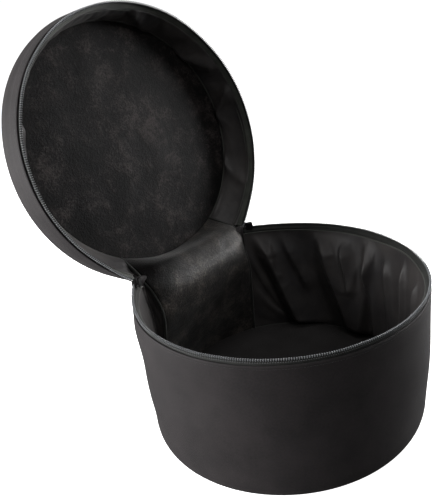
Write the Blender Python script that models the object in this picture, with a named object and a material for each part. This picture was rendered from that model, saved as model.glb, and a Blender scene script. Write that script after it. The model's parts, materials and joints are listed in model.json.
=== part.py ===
# A padded round drum bag, standing open: a body and a lid joined by a fabric spine at the back.
# The origin is the middle of the underside. +Z is up, +Y points to the hinge and -Y to the front.
# Body and lid are swept walls: a closed profile in (offset, level) goes round the bag's outline.
# An offset is measured inwards from the outside face, and a level away from the rim plane,
# where the body meets the lid. Angles are measured from +Y towards +X.
import math

import bmesh
import bpy

MM = 0.001

# Driving dimensions of the bag
BAG_RADIUS = 190.0 * MM
BODY_HEIGHT = 196.0 * MM
LID_DEPTH = 60.0 * MM
SPINE_HALF_ANGLE = math.radians(33.0)
OPEN_ANGLE = math.radians(104.0)

# The padded wall, from outside to inside, and the clearance between sewn layers
SKIN = 1.2 * MM
FOAM = 7.0 * MM
LINING = 1.2 * MM
GAP = 0.3 * MM
FOAM_OFFSET = SKIN + GAP
LINING_OFFSET = FOAM_OFFSET + FOAM + GAP
WALL = LINING_OFFSET + LINING

# The flat ends: an outer panel, a stiff foam board and an inner panel
BOARD = 5.0 * MM
INNER_PANEL = 1.6 * MM
BOARD_DEPTH = SKIN + GAP
INNER_PANEL_DEPTH = BOARD_DEPTH + BOARD + GAP
PANEL_BINDING = 2.0 * MM
BINDING_DEPTH = INNER_PANEL_DEPTH + INNER_PANEL + GAP
ROUND_DEPTH = BINDING_DEPTH + PANEL_BINDING + GAP

# The zip: each half is a tape that stands up from the wall with a coil on its edge.
# The coils lie apart by the height of the post in the sliders, which runs between them.
SLIDER_CLEARANCE = 0.6 * MM
POST_HEIGHT = 2.0 * MM
COIL_LEVEL = POST_HEIGHT / 2 + SLIDER_CLEARANCE
COIL_WIDTH = 2.7 * MM
COIL_HEIGHT = 3.0 * MM
COIL_BEVEL = 0.7 * MM
ZIP_RISE = 9.0 * MM
TAPE_SEAM = 6.0 * MM
TAPE = 0.9 * MM
TAPE_OFFSET = SKIN + GAP
ZIP_END_ANGLE = math.radians(2.6)

# The binding that folds over the top edge of the lining
BINDING = 1.0 * MM
BINDING_RISE = 2.0 * MM

# The spine: its slight inward bow, its seams, the padded roll over the fold, and the
# clearance under what is sewn onto its doubly curved faces
SPINE_BOW = 10.0 * MM
SPINE_SEAM_WIDTH = 9.0 * MM
FOLD_CORE = 1.5 * MM
FOLD_BULGE = 1.5 * MM
CURVED_GAP = 0.5 * MM

# The zip sliders and their pulls
SLIDER_LENGTH = 10.0 * MM
SLIDER_PLATE = 1.6 * MM
PLATE_BELOW_COIL = 0.8 * MM
POST_LENGTH = 2.6 * MM
SLIDER_ANGLE = SPINE_HALF_ANGLE + math.radians(3.6)
BAIL_SPAN = 7.0 * MM
BAIL_LEG = 1.0 * MM
BAIL_REACH = 3.0 * MM
BAIL_RADIUS = 0.6 * MM
PULL_CLEARANCE = 0.35 * MM
PULL_SHEET = 0.9 * MM
PULL_WIDTH = 4.4 * MM
PULL_LENGTH = 24.0 * MM
HOOK_START = math.radians(-20.0)
HOOK_END = math.radians(235.0)

# The end tabs that close each end of the zip
END_TAB = 1.0 * MM
END_TAB_WIDTH = 9.0 * MM
END_TAB_TOP = 6.0 * MM
END_TAB_HEIGHT = 16.0 * MM

# The carrying handle on the back: webbing, two patches under its ends and a wrapped grip
HANDLE_LEVEL = 86.0 * MM
WEBBING_WIDTH = 38.0 * MM
WEBBING = 2.4 * MM
WEBBING_HALF_LENGTH = 84.0 * MM
HANDLE_FREE_HALF_LENGTH = 52.0 * MM
HANDLE_LIFT = 30.0 * MM
PATCH = 1.2 * MM
PATCH_LENGTH = 44.0 * MM
PATCH_BORDER = 6.0 * MM
GRIP_HALF_LENGTH = 38.0 * MM
GRIP_WRAP = 2.0 * MM
GRIP_SLIT = 4.0 * MM

WALL_STEPS = 44
SPINE_STEPS = 14
LEVEL_STEPS = 8
HANDLE_STEPS = 24
FOLD_STEPS = 8
ROUND_STEPS = 9
FINEST_SHARE = 1000

HINGE_Y = BAG_RADIUS * math.cos(SPINE_HALF_ANGLE)
SLIDER_REACH = COIL_LEVEL + COIL_HEIGHT + PLATE_BELOW_COIL
SLIDER_HALF_ANGLE = SLIDER_LENGTH / BAG_RADIUS / 2
# The lid's zip starts past the sliders, which hold the ends of both halves.
LID_ZIP_END_ANGLE = SLIDER_ANGLE - SPINE_HALF_ANGLE + SLIDER_HALF_ANGLE + SLIDER_CLEARANCE / BAG_RADIUS


def clear_scene():
    for old in list(bpy.data.objects):
        bpy.data.objects.remove(old)


def material(name, colour, roughness, metallic=0.0):
    made = bpy.data.materials.new(name)
    made.use_nodes = True
    shader = made.node_tree.nodes["Principled BSDF"]
    shader.inputs["Base Color"].default_value = (*colour, 1.0)
    shader.inputs["Roughness"].default_value = roughness
    shader.inputs["Metallic"].default_value = metallic
    return made


def make_materials():
    return {
        "nylon": material("black_nylon", (0.030, 0.029, 0.030), 0.75),
        "foam": material("grey_foam", (0.10, 0.10, 0.10), 0.95),
        "satin": material("black_lining", (0.022, 0.021, 0.021), 0.45),
        "plush": material("black_plush", (0.018, 0.017, 0.018), 0.95),
        "tape": material("zip_tape", (0.035, 0.036, 0.035), 0.70),
        "coil": material("zip_coil", (0.07, 0.07, 0.07), 0.35),
        "zinc": material("painted_zinc", (0.012, 0.012, 0.012), 0.35, 0.5),
        "webbing": material("black_webbing", (0.025, 0.025, 0.025), 0.80),
    }


def add_object(name, mesh, look, parent, location=(0.0, 0.0, 0.0), turn=0.0):
    made = bpy.data.objects.new(name, mesh)
    bpy.context.scene.collection.objects.link(made)
    made.parent = parent
    made.location = location
    made.rotation_euler = (0.0, 0.0, turn)
    mesh.materials.append(look)
    return made


def add_group(name, location=(0.0, 0.0, 0.0), tilt=0.0):
    group = bpy.data.objects.new(name, None)
    bpy.context.scene.collection.objects.link(group)
    group.location = location
    group.rotation_euler = (tilt, 0.0, 0.0)
    return group


def spread(low, high, steps):
    return [low + (high - low) * i / steps for i in range(steps + 1)]


def turn_of(length):
    """The angle that a length along the wall's outside face spans."""
    return length / BAG_RADIUS


def clipped(knots, start, end):
    """Both limits and the knots between them: pieces side by side share the same facets."""
    margin = abs(end - start) / FINEST_SHARE
    made = [min(start, end)]
    last = max(start, end)
    for knot in sorted(knots):
        if made[-1] + margin < knot < last - margin:
            made.append(knot)
    made.append(last)
    return made


def full_turn_knots():
    """The angles at which the outline has its corners, from -180 to 540 degrees."""
    spine = spread(-SPINE_HALF_ANGLE, SPINE_HALF_ANGLE, SPINE_STEPS)[:-1]
    wall = spread(SPINE_HALF_ANGLE, math.tau - SPINE_HALF_ANGLE, WALL_STEPS)[:-1]
    one_turn = spine + wall
    return [k + shift for shift in (-math.tau, 0.0, math.tau) for k in one_turn]


ANGLE_KNOTS = full_turn_knots()


def between_knots(knots, value):
    """The knots on either side of a value, and the value's share of the way between them."""
    for low, high in zip(knots, knots[1:]):
        if low <= value <= high:
            return low, high, (value - low) / (high - low)
    nearest = knots[0] if value < knots[0] else knots[-1]
    return nearest, nearest, 0.0


class Half:
    """The body or the lid. Levels run away from the rim plane, along the given direction."""

    def __init__(self, height, direction, bow):
        self.height = height
        self.direction = direction
        self.bow = bow
        self.level_knots = spread(GAP, height - ROUND_DEPTH, LEVEL_STEPS)

    def spine_y(self, radius, level, angle):
        """The spine is flat at the rim, bows inwards and is round again at the panel."""
        roundness = level / self.level_knots[-1]
        flat = radius * math.cos(SPINE_HALF_ANGLE)
        across = 1.0 - (angle / SPINE_HALF_ANGLE) ** 2
        inwards = self.bow * math.sin(math.pi * roundness) * across
        return flat + (radius * math.cos(angle) - flat) * roundness - inwards

    def knot_y(self, radius, level, angle):
        turn = math.remainder(angle, math.tau)
        if abs(turn) < SPINE_HALF_ANGLE:
            return self.spine_y(radius, level, turn)
        return radius * math.cos(turn)

    def point(self, offset, level, angle):
        radius = BAG_RADIUS - offset
        left, right, along = between_knots(ANGLE_KNOTS, angle)
        upper, lower, down = between_knots(self.level_knots, level)
        x = radius * (math.sin(left) * (1.0 - along) + math.sin(right) * along)
        y = 0.0
        for knot, share in ((left, 1.0 - along), (right, along)):
            y += share * (1.0 - down) * self.knot_y(radius, upper, knot)
            y += share * down * self.knot_y(radius, lower, knot)
        return (x, y, self.direction * level)

    def levels(self, top, bottom):
        return clipped(self.level_knots, top, bottom)


BODY = Half(BODY_HEIGHT, -1.0, SPINE_BOW)
LID = Half(LID_DEPTH, 1.0, 0.0)


def strip(outer, inner, levels):
    """The profile of a layer between two offsets, with a point at each level."""
    return [(outer, level) for level in levels] + [(inner, level) for level in reversed(levels)]


def wall_angles(margin):
    start = SPINE_HALF_ANGLE + margin
    return clipped(ANGLE_KNOTS, start, math.tau - start)


def finish_mesh(name, bm):
    bmesh.ops.recalc_face_normals(bm, faces=bm.faces)
    mesh = bpy.data.meshes.new(name)
    bm.to_mesh(mesh)
    bm.free()
    mesh.shade_smooth()
    mesh.set_sharp_from_angle(angle=math.radians(35.0))
    return mesh


def sweep_mesh(name, rings, closed=False):
    """A closed solid through rings of points. An open sweep gets a cap at each end."""
    bm = bmesh.new()
    verts = [[bm.verts.new(p) for p in ring] for ring in rings]
    count = len(verts)
    around = len(verts[0])
    for i in range(count if closed else count - 1):
        here = verts[i]
        there = verts[(i + 1) % count]
        for j in range(around):
            k = (j + 1) % around
            # Both sides of a layer are split along the same diagonal, so layers stay parallel.
            if here[j].co.z >= here[k].co.z:
                bm.faces.new((here[j], here[k], there[k]))
                bm.faces.new((here[j], there[k], there[j]))
            else:
                bm.faces.new((here[j], here[k], there[j]))
                bm.faces.new((here[k], there[k], there[j]))
    if not closed:
        bm.faces.new(verts[0])
        bm.faces.new(reversed(verts[-1]))
    return finish_mesh(name, bm)


def band_mesh(name, half, profile, angles):
    """A closed (offset, level) profile swept round a part of one half's outline."""
    rings = [[half.point(offset, level, a) for offset, level in profile] for a in angles]
    return sweep_mesh(name, rings)


def round_angles():
    """The corners of the outline over one turn."""
    return [k for k in ANGLE_KNOTS if -SPINE_HALF_ANGLE <= k < math.tau - SPINE_HALF_ANGLE]


def ring_mesh(name, half, profile):
    """A profile swept right round, which stays round where the spine is flat."""
    rings = []
    for a in round_angles():
        ring = []
        for offset, level in profile:
            radius = BAG_RADIUS - offset
            ring.append((radius * math.sin(a), radius * math.cos(a), half.direction * level))
        rings.append(ring)
    return sweep_mesh(name, rings, closed=True)


def disc_mesh(name, half, offset, near, far):
    """A flat round panel between two levels."""
    radius = BAG_RADIUS - offset
    sections = []
    for level in (near, far):
        z = half.direction * level
        sections.append([(radius * math.sin(a), radius * math.cos(a), z) for a in round_angles()])
    return sweep_mesh(name, sections)


def box_mesh(name, low, high):
    sections = []
    for x in (low[0], high[0]):
        corners = ((low[1], low[2]), (high[1], low[2]), (high[1], high[2]), (low[1], high[2]))
        sections.append([(x, y, z) for y, z in corners])
    return sweep_mesh(name, sections)


def padded_wall(prefix, half, looks, group, rim):
    """Skin, foam and lining round the front and the sides, from seam to seam."""
    angles = wall_angles(turn_of(GAP))
    board_side = half.height - INNER_PANEL_DEPTH
    foam_top = ZIP_RISE + TAPE_SEAM + GAP
    layers = (
        ("outer_wall", strip(0.0, SKIN, [ZIP_RISE, half.height - BOARD_DEPTH]), "nylon"),
        ("wall_foam", strip(FOAM_OFFSET, FOAM_OFFSET + FOAM, [foam_top, board_side]), "foam"),
        ("wall_lining", strip(LINING_OFFSET, WALL, [ZIP_RISE, board_side]), "satin"),
    )
    for kind, profile, look in layers:
        name = prefix + "_" + kind
        add_object(name, band_mesh(name, half, profile, angles), looks[look], group, rim)


def padded_spine(suffix, half, looks, group, rim):
    """Skin, foam and plush of the spine on this half, from the fold to the flat end."""
    edge = SPINE_HALF_ANGLE - turn_of(GAP)
    angles = clipped(ANGLE_KNOTS, -edge, edge)
    skin_levels = half.levels(GAP, half.height - BOARD_DEPTH)
    inner_levels = half.levels(GAP, half.height - INNER_PANEL_DEPTH)
    layers = (
        ("spine_outer_", strip(0.0, SKIN, skin_levels), "nylon"),
        ("spine_foam_", strip(FOAM_OFFSET, FOAM_OFFSET + FOAM, inner_levels), "foam"),
        ("spine_plush_", strip(LINING_OFFSET, WALL, inner_levels), "plush"),
    )
    for kind, profile, look in layers:
        name = kind + suffix
        add_object(name, band_mesh(name, half, profile, angles), looks[look], group, rim)


def end_panels(names, half, inner_look, looks, group, rim):
    """Outer panel, board and inner panel that close one half."""
    outer_name, board_name, inner_name = names
    base = half.height
    layers = (
        (outer_name, 0.0, base - SKIN, base, "nylon"),
        (board_name, FOAM_OFFSET, base - BOARD_DEPTH - BOARD, base - BOARD_DEPTH, "foam"),
        (inner_name, WALL + GAP, base - INNER_PANEL_DEPTH - INNER_PANEL, base - INNER_PANEL_DEPTH, inner_look),
    )
    for name, offset, near, far, look in layers:
        add_object(name, disc_mesh(name, half, offset, near, far), looks[look], group, rim)


def panel_binding(name, half, looks, group, rim):
    """The bound seam that runs round the inner panel."""
    low = half.height - BINDING_DEPTH
    outer = WALL + GAP
    profile = strip(outer, outer + PANEL_BINDING, [low - PANEL_BINDING, low])
    add_object(name, ring_mesh(name, half, profile), looks["tape"], group, rim)


def rim_binding(name, half, looks, group, rim):
    """A tape folded over the top edge of the lining, inside the zip."""
    low = ZIP_RISE + TAPE_SEAM
    top = ZIP_RISE - BINDING_RISE
    lining_top = ZIP_RISE - GAP
    inner = WALL + GAP
    profile = [
        (TAPE_OFFSET + TAPE + GAP, top),
        (TAPE_OFFSET + TAPE + GAP, low),
        (LINING_OFFSET - GAP, low),
        (LINING_OFFSET - GAP, lining_top),
        (inner, lining_top),
        (inner, low),
        (inner + BINDING, low),
        (inner + BINDING, top),
    ]
    mesh = band_mesh(name, half, profile, wall_angles(ZIP_END_ANGLE))
    add_object(name, mesh, looks["tape"], group, rim)


def zip_half(prefix, half, end_angle, looks, group, rim):
    """The tape that is sewn in behind the skin, and the coil along its free edge."""
    angles = wall_angles(end_angle)
    top = COIL_LEVEL
    bottom = top + COIL_HEIGHT
    tape = strip(TAPE_OFFSET, TAPE_OFFSET + TAPE, [bottom + GAP, ZIP_RISE + TAPE_SEAM])
    name = prefix + "_zip_tape"
    add_object(name, band_mesh(name, half, tape, angles), looks["tape"], group, rim)
    outer, inner = coil_offsets()
    coil = [
        (outer, top + COIL_BEVEL),
        (outer, bottom - COIL_BEVEL),
        (outer + COIL_BEVEL, bottom),
        (inner - COIL_BEVEL, bottom),
        (inner, bottom - COIL_BEVEL),
        (inner, top + COIL_BEVEL),
        (inner - COIL_BEVEL, top),
        (outer + COIL_BEVEL, top),
    ]
    name = prefix + "_zip_coil"
    add_object(name, band_mesh(name, half, coil, angles), looks["coil"], group, rim)


def coil_offsets():
    outer = TAPE_OFFSET + TAPE / 2 - COIL_WIDTH / 2
    return outer, outer + COIL_WIDTH


def spine_seam(name, side, looks, group, rim):
    """The tape that binds the seam between the lining and the plush of the spine."""
    reach = turn_of(SPINE_SEAM_WIDTH / 2)
    corner = side * SPINE_HALF_ANGLE
    angles = clipped(ANGLE_KNOTS, corner - reach, corner + reach)
    levels = BODY.levels(ZIP_RISE + TAPE_SEAM + GAP, BODY_HEIGHT - ROUND_DEPTH - GAP)
    outer = WALL + CURVED_GAP
    profile = strip(outer, outer + BINDING, levels)
    add_object(name, band_mesh(name, BODY, profile, angles), looks["tape"], group, rim)


def end_tab(name, side, looks, group, rim):
    """A folded tab sewn over the end of the zip, on the outside of the corner."""
    corner = side * SPINE_HALF_ANGLE
    angles = clipped(ANGLE_KNOTS, corner, corner + side * turn_of(END_TAB_WIDTH))
    profile = strip(-GAP - END_TAB, -GAP, [END_TAB_TOP, END_TAB_TOP + END_TAB_HEIGHT])
    add_object(name, band_mesh(name, BODY, profile, angles), looks["nylon"], group, rim)


def hinge_fold(looks, group):
    """The padded roll over the fold, between the spine's lower and upper parts."""
    radius = WALL * math.cos(SPINE_HALF_ANGLE) + FOLD_BULGE
    half_width = (BAG_RADIUS - WALL) * math.sin(SPINE_HALF_ANGLE)
    turns = spread(math.pi, math.pi - OPEN_ANGLE, FOLD_STEPS)
    section = [(FOLD_CORE * math.cos(t), FOLD_CORE * math.sin(t)) for t in turns]
    section += [(radius * math.cos(t), radius * math.sin(t)) for t in reversed(turns)]
    rings = [[(x, y, z) for y, z in section] for x in (-half_width, 0.0, half_width)]
    add_object("hinge_fold", sweep_mesh("hinge_fold", rings), looks["plush"], group)


def join_to(target, tool):
    """A Boolean union that makes one solid of two shapes of a piece."""
    tool.hide_render = True
    tool.display_type = "WIRE"
    union = target.modifiers.new("join_" + tool.name, "BOOLEAN")
    union.operation = "UNION"
    union.solver = "EXACT"
    union.object = tool


def zip_slider(side_name, side, looks, group):
    """Two plates with the coils between them, a post that parts the coils, and the bail.

    Places across the wall are distances outwards from the skin's face.
    """
    coil_outer, coil_inner = coil_offsets()
    front_inner = SLIDER_CLEARANCE - coil_outer
    front_outer = front_inner + SLIDER_PLATE
    rear_outer = -coil_inner - SLIDER_CLEARANCE
    rear_inner = rear_outer - SLIDER_PLATE
    half_length = SLIDER_LENGTH / 2
    bite = SLIDER_PLATE / 2
    angle = side * SLIDER_ANGLE
    location = (BAG_RADIUS * math.sin(angle), BAG_RADIUS * math.cos(angle), BODY_HEIGHT)

    def piece(name, low, high):
        mesh = box_mesh(name, low, high)
        return add_object(name, mesh, looks["zinc"], group, location, -angle)

    low = (-half_length, front_inner, -SLIDER_REACH)
    high = (half_length, front_outer, SLIDER_REACH)
    slider = piece("zip_slider_" + side_name, low, high)
    low = (-half_length, rear_inner, -SLIDER_REACH)
    high = (half_length, rear_outer, SLIDER_REACH)
    join_to(slider, piece("rear_plate_" + side_name, low, high))
    # The post stands between the coils, at the end that leads as the bag is zipped up.
    ends = sorted((side * half_length, side * (half_length - POST_LENGTH)))
    low = (ends[0], rear_outer - bite, -POST_HEIGHT / 2)
    high = (ends[1], front_inner + bite, POST_HEIGHT / 2)
    join_to(slider, piece("post_" + side_name, low, high))
    # The bail is two legs and a round bar along the rim, which carries the pull.
    bar_out = front_outer + BAIL_REACH - BAIL_RADIUS
    for leg_name, start in (("near", -BAIL_SPAN / 2), ("far", BAIL_SPAN / 2 - BAIL_LEG)):
        low = (start, front_outer - bite, -BAIL_LEG)
        high = (start + BAIL_LEG, front_outer + BAIL_REACH, BAIL_LEG)
        join_to(slider, piece(leg_name + "_leg_" + side_name, low, high))
    turns = spread(0.0, math.tau, ROUND_STEPS)[:-1]
    bar_end = (BAIL_SPAN - BAIL_LEG) / 2
    rings = []
    for x in (-bar_end, bar_end):
        rings.append([(x, bar_out + BAIL_RADIUS * math.cos(t), BAIL_RADIUS * math.sin(t)) for t in turns])
    name = "bar_" + side_name
    join_to(slider, add_object(name, sweep_mesh(name, rings), looks["zinc"], group, location, -angle))
    zip_pull(side_name, angle, bar_out, looks, group)


def zip_pull(side_name, angle, bar_out, looks, group):
    """A sheet hooked over the bail's bar, hanging down outside the wall."""
    inner = BAIL_RADIUS + PULL_CLEARANCE
    outer = inner + PULL_SHEET
    low = -outer - PULL_LENGTH
    # The hook starts on the outer side, goes over the bar and ends under its inner side.
    turns = spread(HOOK_START, HOOK_END, ROUND_STEPS)
    section = [(inner, low)]
    section += [(inner * math.cos(t), inner * math.sin(t)) for t in turns]
    section += [(outer * math.cos(t), outer * math.sin(t)) for t in reversed(turns)]
    section += [(outer, low)]
    rings = [[(x, y, z) for y, z in section] for x in (-PULL_WIDTH / 2, PULL_WIDTH / 2)]
    reach = BAG_RADIUS + bar_out
    name = "zip_pull_" + side_name
    place = (reach * math.sin(angle), reach * math.cos(angle), BODY_HEIGHT)
    add_object(name, sweep_mesh(name, rings), looks["zinc"], group, place, -angle)


def handle_stand_off(angle, gap):
    """How far the strap's inner face stands off the skin at this angle."""
    free = turn_of(HANDLE_FREE_HALF_LENGTH)
    lift = 0.0
    if abs(angle) < free:
        lift = HANDLE_LIFT * (1.0 + math.cos(math.pi * angle / free)) / 2
    return gap + lift


def handle_angles(half_length):
    """The webbing and its grip share their corners, so that the grip follows the webbing."""
    end = turn_of(half_length)
    webbing_end = turn_of(WEBBING_HALF_LENGTH)
    grip_end = turn_of(GRIP_HALF_LENGTH)
    knots = ANGLE_KNOTS + spread(-webbing_end, webbing_end, HANDLE_STEPS) + [-grip_end, grip_end]
    return clipped(knots, -end, end)


def carrying_handle(looks, group, rim):
    """Webbing over two patches on the back, with a grip wrapped round its middle."""
    webbing_top = HANDLE_LEVEL + PATCH_BORDER
    webbing_low = webbing_top + WEBBING_WIDTH
    patch_low = webbing_low + PATCH_BORDER
    stand_off = CURVED_GAP + PATCH + GAP
    levels = BODY.levels(webbing_top, webbing_low)
    rings = []
    for a in handle_angles(WEBBING_HALF_LENGTH):
        near = -handle_stand_off(a, stand_off)
        rings.append([BODY.point(o, level, a) for o, level in strip(near - WEBBING, near, levels)])
    add_object("handle_webbing", sweep_mesh("handle_webbing", rings), looks["webbing"], group, rim)
    profile = strip(-CURVED_GAP - PATCH, -CURVED_GAP, BODY.levels(HANDLE_LEVEL, patch_low))
    for side_name, side in (("left", -1), ("right", 1)):
        far = turn_of(WEBBING_HALF_LENGTH + PATCH_BORDER)
        near = far - turn_of(PATCH_LENGTH)
        angles = clipped(ANGLE_KNOTS, side * near, side * far)
        name = "handle_patch_" + side_name
        add_object(name, band_mesh(name, BODY, profile, angles), looks["nylon"], group, rim)
    handle_grip((webbing_top + webbing_low) / 2, stand_off, looks, group, rim)


def handle_grip(middle, stand_off, looks, group, rim):
    """A padded wrap that closes along a slit on the side towards the bag."""
    half_width = WEBBING_WIDTH / 2 + GAP
    wrapped = half_width + GRIP_WRAP
    half_slit = GRIP_SLIT / 2
    bag_side = [middle - half_slit, middle - half_width, middle - wrapped]
    rings = []
    for a in handle_angles(GRIP_HALF_LENGTH):
        near = GAP - handle_stand_off(a, stand_off)
        far = near - WEBBING - 2 * GAP
        outside = BODY.levels(middle - wrapped, middle + wrapped)
        inside = BODY.levels(middle - half_width, middle + half_width)
        section = [(near + GRIP_WRAP, bag_side[0])]
        section += [(near + GRIP_WRAP, middle - wrapped)]
        section += [(far - GRIP_WRAP, level) for level in outside]
        section += [(near + GRIP_WRAP, middle + wrapped), (near + GRIP_WRAP, middle + half_slit)]
        section += [(near, middle + half_slit), (near, middle + half_width)]
        section += [(far, level) for level in reversed(inside)]
        section += [(near, middle - half_width), (near, middle - half_slit)]
        rings.append([BODY.point(offset, level, a) for offset, level in section])
    add_object("handle_grip", sweep_mesh("handle_grip", rings), looks["webbing"], group, rim)


def build_body(looks):
    group = add_group("body_group")
    rim = (0.0, 0.0, BODY_HEIGHT)
    padded_wall("body", BODY, looks, group, rim)
    padded_spine("lower", BODY, looks, group, rim)
    names = ("base_outer_panel", "base_board", "base_lining_panel")
    end_panels(names, BODY, "satin", looks, group, rim)
    rim_binding("body_rim_binding", BODY, looks, group, rim)
    zip_half("lower", BODY, ZIP_END_ANGLE, looks, group, rim)
    for side_name, side in (("left", -1), ("right", 1)):
        spine_seam("spine_seam_tape_" + side_name, side, looks, group, rim)
        end_tab("zip_end_tab_" + side_name, side, looks, group, rim)
        zip_slider(side_name, side, looks, group)
    carrying_handle(looks, group, rim)
    hinge_fold(looks, add_group("fold_axis", (0.0, HINGE_Y, BODY_HEIGHT)))


def build_lid(looks):
    """The lid is built as it lies on the body, from the hinge line, and then swung open."""
    group = add_group("lid_hinge", (0.0, HINGE_Y, BODY_HEIGHT), -OPEN_ANGLE)
    rim = (0.0, -HINGE_Y, 0.0)
    padded_wall("lid", LID, looks, group, rim)
    padded_spine("upper", LID, looks, group, rim)
    names = ("lid_top_panel", "lid_board", "lid_plush_panel")
    end_panels(names, LID, "plush", looks, group, rim)
    panel_binding("lid_panel_binding", LID, looks, group, rim)
    rim_binding("lid_rim_binding", LID, looks, group, rim)
    zip_half("upper", LID, LID_ZIP_END_ANGLE, looks, group, rim)


def main():
    clear_scene()
    looks = make_materials()
    build_body(looks)
    build_lid(looks)


main()
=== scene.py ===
"""A padded drum bag standing open, dressed round its fixed frame.

The bag is black nylon cloth over foam, lined with thin satin, with plush on the spine and
inside the lid. Every soft piece is a swept surface in the bag's own frame: +Z is up and +Y
points to the hinge. Offsets run inwards from the outside face, and levels away from the rim.
"""

import json
import logging
import math
from dataclasses import dataclass
from enum import Enum
from functools import cache
from typing import Callable, Sequence

import bmesh
import bpy
import numpy as np
from mathutils import Matrix, Vector

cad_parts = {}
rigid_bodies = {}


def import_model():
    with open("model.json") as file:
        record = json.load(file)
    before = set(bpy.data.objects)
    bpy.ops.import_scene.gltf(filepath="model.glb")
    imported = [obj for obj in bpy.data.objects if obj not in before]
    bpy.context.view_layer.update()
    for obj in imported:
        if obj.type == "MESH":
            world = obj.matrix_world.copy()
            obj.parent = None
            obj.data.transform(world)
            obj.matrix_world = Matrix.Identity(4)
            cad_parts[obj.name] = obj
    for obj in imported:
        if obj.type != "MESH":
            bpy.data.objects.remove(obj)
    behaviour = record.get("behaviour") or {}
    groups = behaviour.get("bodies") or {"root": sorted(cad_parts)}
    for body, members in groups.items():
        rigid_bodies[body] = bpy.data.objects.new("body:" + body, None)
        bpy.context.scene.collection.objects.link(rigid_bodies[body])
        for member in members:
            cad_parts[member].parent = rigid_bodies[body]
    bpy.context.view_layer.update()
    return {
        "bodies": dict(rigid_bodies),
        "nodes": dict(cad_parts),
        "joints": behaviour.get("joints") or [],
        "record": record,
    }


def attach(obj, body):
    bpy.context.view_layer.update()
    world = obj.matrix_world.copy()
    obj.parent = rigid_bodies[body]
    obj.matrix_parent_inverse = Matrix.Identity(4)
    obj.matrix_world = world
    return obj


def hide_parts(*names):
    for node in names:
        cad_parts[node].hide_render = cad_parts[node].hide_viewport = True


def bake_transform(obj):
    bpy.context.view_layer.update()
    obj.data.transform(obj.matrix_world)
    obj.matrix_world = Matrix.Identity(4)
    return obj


logging.basicConfig(level=logging.INFO, format="%(message)s")
LOG = logging.getLogger("drum_bag")

MM = 0.001
PHOTO_SIZE = (438, 500)

Array = np.ndarray
Faces = list[tuple[int, ...]]
Object = bpy.types.Object
Socket = bpy.types.NodeSocket


class Side(Enum):
    """The two ends of the spine, as signs along X."""

    LEFT = -1
    RIGHT = 1


@dataclass(frozen=True)
class BagSizes:
    """The bag's main sizes in metres and radians, as the frame has them.

    The lid sags a little, so it is drawn shorter from front to back than the frame's. Its
    inner panel is smaller and is drawn towards the front. The wall bulges beside the hinge,
    and is round again a little way before the panel.
    """

    radius: float = 190 * MM
    height: float = 196 * MM
    lid_depth: float = 60 * MM
    spine_half_angle: float = math.radians(33)
    open_angle: float = math.radians(104)
    wall: float = 11 * MM
    lid_squash: float = 0.97
    lid_drawn: float = 9.75 * MM
    corner_bulge: float = 5 * MM
    bulge_turn: float = 0.22
    round_before: float = 12 * MM

    @property
    def hinge_y(self) -> float:
        """How far behind the middle the hinge line lies."""
        return self.radius * math.cos(self.spine_half_angle)


@dataclass(frozen=True)
class ZipSizes:
    """The coil zip. A real turn is about 2 mm long, and it is drawn coarser so that it shows."""

    pitch: float = 2.6 * MM
    turn_radius: float = 1.2 * MM
    wire: float = 0.4 * MM
    level: float = 1.9 * MM
    sewing_level: float = 5.2 * MM
    sewing_half: float = 0.7 * MM
    sewing_thread: float = 0.5 * MM
    wave: float = 0.5 * MM


SIZES = BagSizes()
ZIP = ZipSizes()
TUBE_SIDES = 8
GRIP_SIDES = 32


# Surfaces


def smooth(value: Array) -> Array:
    """Eases a value from 0 to 1, and holds it outside that span."""
    held = np.clip(value, 0.0, 1.0)
    return held * held * (3 - 2 * held)


def ripple(u: Array, v: Array, seed: int, waves: int = 7, low: float = 1.0, high: float = 6.0) -> Array:
    """A smooth uneven field, the sum of a few sine waves that run in all directions.

    Args:
        u: First coordinate, about 0 to 1 over the piece.
        v: Second coordinate, about 0 to 1 over the piece.
        seed: Fixes the field.
        waves: How many sine waves are added.
        low: Fewest waves over a unit.
        high: Most waves over a unit.
    Returns:
        Values of about -1 to 1.
    """
    chance = np.random.default_rng(seed)
    total = np.zeros(np.broadcast(u, v).shape)
    for _ in range(waves):
        pace = chance.uniform(low, high)
        heading, phase = chance.uniform(0, math.tau), chance.uniform(0, math.tau)
        total += np.sin(math.tau * pace * (u * math.cos(heading) + v * math.sin(heading)) + phase)
    return total / math.sqrt(waves) / 1.6


def hang(points: Array) -> Array:
    """Swings points of the closed lid to where the open lid stands.

    Args:
        points: Rows of x, y and z as if the lid lay on the body.
    Returns:
        The same rows with the lid open.
    """
    y = (points[..., 1] - SIZES.hinge_y) * SIZES.lid_squash
    z = points[..., 2] - SIZES.height
    cos, sin = math.cos(SIZES.open_angle), math.sin(SIZES.open_angle)
    moved = points.copy()
    moved[..., 1] = SIZES.hinge_y + y * cos + z * sin
    moved[..., 2] = SIZES.height - y * sin + z * cos
    return moved


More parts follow.
